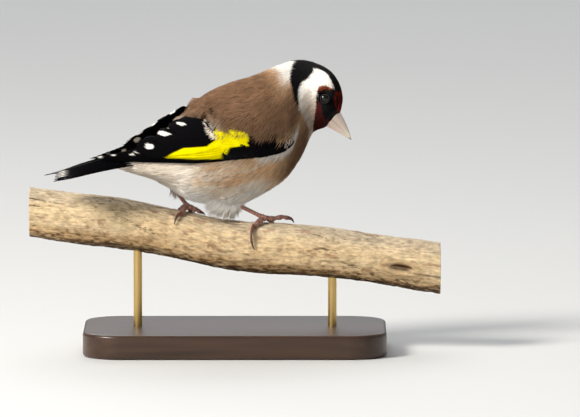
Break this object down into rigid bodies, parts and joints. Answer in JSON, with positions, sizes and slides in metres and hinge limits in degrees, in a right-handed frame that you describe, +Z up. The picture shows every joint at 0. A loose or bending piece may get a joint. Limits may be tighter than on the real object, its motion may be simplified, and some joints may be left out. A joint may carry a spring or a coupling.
{
  "type": "goldfinch figure on a branch perch",
  "caption": "Life-size european goldfinch, head bent and turned, gripping a short cut length of dry branch that slim rods hold over a flat base.",
  "frame": {"origin": "middle of the base's flat underside, on the surface it stands on", "axes": "+X along the base and the perch, the way the bird faces, +Y away from the viewer of the picture, to the bird's left, +Z up"},
  "size_m": [0.152, 0.064, 0.1073],
  "materials": {
    "brown_plumage": "soft overlapping body feathers, brown on the back, buff and white below",
    "face_plumage": "short dense feathers in red, white and black",
    "bill_horn": "smooth pale horn with a dark tip",
    "eye": "wet, nearly black",
    "flight_feathers": "sleek black vanes with a yellow panel and white tips",
    "thigh_down": "loose whitish down",
    "foot_skin": "fine horny scales",
    "claw_horn": "dark smooth horn",
    "branch_wood": "dry barkless wood with long cracks and a knot hole",
    "base_wood": "dark stained, satin varnish",
    "rod_brass": "satin"
  },
  "bodies": {
    "root": {"head": "face_plumage", "neck": "brown_plumage", "torso": "brown_plumage", "bill_upper": "bill_horn", "bill_lower": "bill_horn", "eye_right": "eye", "eye_left": "eye", "wing_right": "flight_feathers", "wing_left": "flight_feathers", "tail": "flight_feathers", "thigh_right": "thigh_down", "thigh_left": "thigh_down", "tarsus_right": "foot_skin", "tarsus_left": "foot_skin", "toe_right_hallux": "foot_skin", "toe_right_inner": "foot_skin", "toe_right_middle": "foot_skin", "toe_right_outer": "foot_skin", "claw_right_hallux": "claw_horn", "claw_right_inner": "claw_horn", "claw_right_middle": "claw_horn", "claw_right_outer": "claw_horn", "toe_left_hallux": "foot_skin", "toe_left_inner": "foot_skin", "toe_left_middle": "foot_skin", "toe_left_outer": "foot_skin", "claw_left_hallux": "claw_horn", "claw_left_inner": "claw_horn", "claw_left_middle": "claw_horn", "claw_left_outer": "claw_horn", "perch": "branch_wood", "stand_base": "base_wood", "stand_rod_left": "rod_brass", "stand_rod_right": "rod_brass"}
  },
  "joints": []
}
